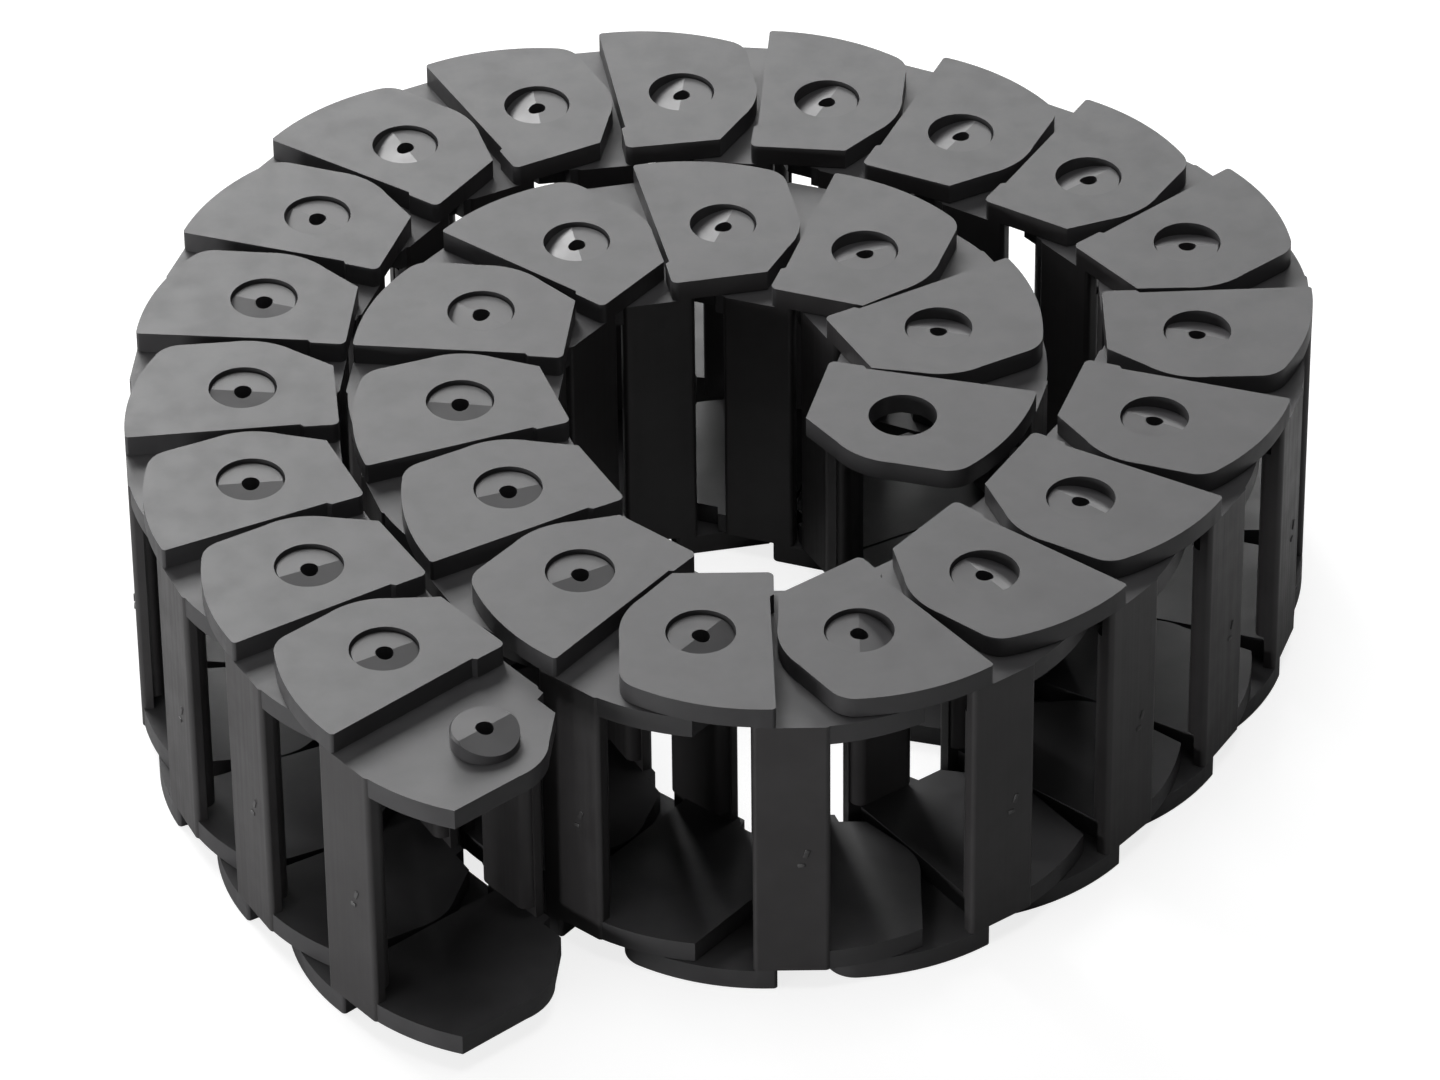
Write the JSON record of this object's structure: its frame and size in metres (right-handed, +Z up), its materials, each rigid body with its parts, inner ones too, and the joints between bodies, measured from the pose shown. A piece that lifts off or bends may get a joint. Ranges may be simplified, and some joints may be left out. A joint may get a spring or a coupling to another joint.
{
  "type": "cable drag chain",
  "caption": "Plastic cable drag chain of open-channel links hinged on snap pins, coiled up and lying on its side.",
  "frame": {"origin": "on the axis of the last link's two free pin holes, in the plane that the coil lies on", "axes": "+Z up along the pin axes, from the lower side plates to the upper ones; the coil lies in XY, and the last link's own pins lie 75 degrees from +X towards +Y"},
  "size_m": [0.2819, 0.2998, 0.0824],
  "materials": {
    "nylon": "fine matte moulded texture with a soft sheen"
  },
  "bodies": {
    "link_28": {"link_28": "nylon"},
    "link_27": {"link_27": "nylon"},
    "link_26": {"link_26": "nylon"},
    "link_25": {"link_25": "nylon"},
    "link_24": {"link_24": "nylon"},
    "link_23": {"link_23": "nylon"},
    "link_22": {"link_22": "nylon"},
    "link_21": {"link_21": "nylon"},
    "link_20": {"link_20": "nylon"},
    "link_19": {"link_19": "nylon"},
    "link_18": {"link_18": "nylon"},
    "link_17": {"link_17": "nylon"},
    "link_16": {"link_16": "nylon"},
    "link_15": {"link_15": "nylon"},
    "link_14": {"link_14": "nylon"},
    "link_13": {"link_13": "nylon"},
    "link_12": {"link_12": "nylon"},
    "link_11": {"link_11": "nylon"},
    "link_10": {"link_10": "nylon"},
    "link_09": {"link_09": "nylon"},
    "link_08": {"link_08": "nylon"},
    "link_07": {"link_07": "nylon"},
    "link_06": {"link_06": "nylon"},
    "link_05": {"link_05": "nylon"},
    "link_04": {"link_04": "nylon"},
    "link_03": {"link_03": "nylon"},
    "link_02": {"link_02": "nylon"},
    "link_01": {"link_01": "nylon"}
  },
  "joints": [
    {"name": "hinge_27", "type": "hinge", "parent": "link_28", "child": "link_27", "pos_m": [0.00932, 0.03477, 0.0412], "axis": [0, 0, 1], "range_deg": [-6, 0]},
    {"name": "hinge_26", "type": "hinge", "parent": "link_27", "child": "link_26", "pos_m": [-0.00758, 0.06656, 0.0412], "axis": [0, 0, 1], "range_deg": [-4, 0]},
    {"name": "hinge_25", "type": "hinge", "parent": "link_26", "child": "link_25", "pos_m": [-0.04162, 0.07828, 0.0412], "axis": [0, 0, 1], "range_deg": [-5, 13]},
    {"name": "hinge_24", "type": "hinge", "parent": "link_25", "child": "link_24", "pos_m": [-0.07696, 0.07141, 0.0412], "axis": [0, 0, 1], "range_deg": [-5, 3]},
    {"name": "hinge_23", "type": "hinge", "parent": "link_24", "child": "link_23", "pos_m": [-0.09962, 0.04343, 0.0412], "axis": [0, 0, 1], "range_deg": [-4, 9]},
    {"name": "hinge_22", "type": "hinge", "parent": "link_23", "child": "link_22", "pos_m": [-0.104, 0.0077, 0.0412], "axis": [0, 0, 1], "range_deg": [-2.5, 3]},
    {"name": "hinge_21", "type": "hinge", "parent": "link_22", "child": "link_21", "pos_m": [-0.09228, -0.02634, 0.0412], "axis": [0, 0, 1], "range_deg": [-1, 2]},
    {"name": "hinge_20", "type": "hinge", "parent": "link_21", "child": "link_20", "pos_m": [-0.07538, -0.05812, 0.0412], "axis": [0, 0, 1], "range_deg": [-0.5, 2]},
    {"name": "hinge_19", "type": "hinge", "parent": "link_20", "child": "link_19", "pos_m": [-0.04781, -0.08126, 0.0412], "axis": [0, 0, 1], "range_deg": [-0.5, 1]},
    {"name": "hinge_18", "type": "hinge", "parent": "link_19", "child": "link_18", "pos_m": [-0.0118, -0.08126, 0.0412], "axis": [0, 0, 1], "range_deg": [-0.5, 2]},
    {"name": "hinge_17", "type": "hinge", "parent": "link_18", "child": "link_17", "pos_m": [0.01732, -0.0601, 0.0412], "axis": [0, 0, 1], "range_deg": [-0.5, 3]},
    {"name": "hinge_16", "type": "hinge", "parent": "link_17", "child": "link_16", "pos_m": [0.04046, -0.03252, 0.0412], "axis": [0, 0, 1], "range_deg": [-1, 2]},
    {"name": "hinge_15", "type": "hinge", "parent": "link_16", "child": "link_15", "pos_m": [0.059, -0.00167, 0.0412], "axis": [0, 0, 1], "range_deg": [-3, 2]},
    {"name": "hinge_14", "type": "hinge", "parent": "link_15", "child": "link_14", "pos_m": [0.07072, 0.03237, 0.0412], "axis": [0, 0, 1], "range_deg": [-6, 1]},
    {"name": "hinge_13", "type": "hinge", "parent": "link_14", "child": "link_13", "pos_m": [0.07009, 0.06837, 0.0412], "axis": [0, 0, 1], "range_deg": [-38, 0]},
    {"name": "hinge_12", "type": "hinge", "parent": "link_13", "child": "link_12", "pos_m": [0.04744, 0.09634, 0.0412], "axis": [0, 0, 1], "range_deg": [-19, 0]},
    {"name": "hinge_11", "type": "hinge", "parent": "link_12", "child": "link_11", "pos_m": [0.01691, 0.11542, 0.0412], "axis": [0, 0, 1], "range_deg": [-7, 0]},
    {"name": "hinge_10", "type": "hinge", "parent": "link_11", "child": "link_10", "pos_m": [-0.01572, 0.13063, 0.0412], "axis": [0, 0, 1], "range_deg": [-19, 0]},
    {"name": "hinge_09", "type": "hinge", "parent": "link_10", "child": "link_09", "pos_m": [-0.05152, 0.1344, 0.0412], "axis": [0, 0, 1], "range_deg": [-14, 0]},
    {"name": "hinge_08", "type": "hinge", "parent": "link_09", "child": "link_08", "pos_m": [-0.08717, 0.12939, 0.0412], "axis": [0, 0, 1], "range_deg": [-19, 0]},
    {"name": "hinge_07", "type": "hinge", "parent": "link_08", "child": "link_07", "pos_m": [-0.11925, 0.11304, 0.0412], "axis": [0, 0, 1], "range_deg": [-28, 0]},
    {"name": "hinge_06", "type": "hinge", "parent": "link_07", "child": "link_06", "pos_m": [-0.1399, 0.08355, 0.0412], "axis": [0, 0, 1], "range_deg": [-16, 0]},
    {"name": "hinge_05", "type": "hinge", "parent": "link_06", "child": "link_05", "pos_m": [-0.15162, 0.04952, 0.0412], "axis": [0, 0, 1], "range_deg": [-13, 0]},
    {"name": "hinge_04", "type": "hinge", "parent": "link_05", "child": "link_04", "pos_m": [-0.15538, 0.01371, 0.0412], "axis": [0, 0, 1], "range_deg": [-11, 0]},
    {"name": "hinge_03", "type": "hinge", "parent": "link_04", "child": "link_03", "pos_m": [-0.15224, -0.02215, 0.0412], "axis": [0, 0, 1], "range_deg": [-19, 1]},
    {"name": "hinge_02", "type": "hinge", "parent": "link_03", "child": "link_02", "pos_m": [-0.1376, -0.05504, 0.0412], "axis": [0, 0, 1], "range_deg": [-6, 3]},
    {"name": "hinge_01", "type": "hinge", "parent": "link_02", "child": "link_01", "pos_m": [-0.1196, -0.08621, 0.0412], "axis": [0, 0, 1], "range_deg": [-10, 7]}
  ]
}
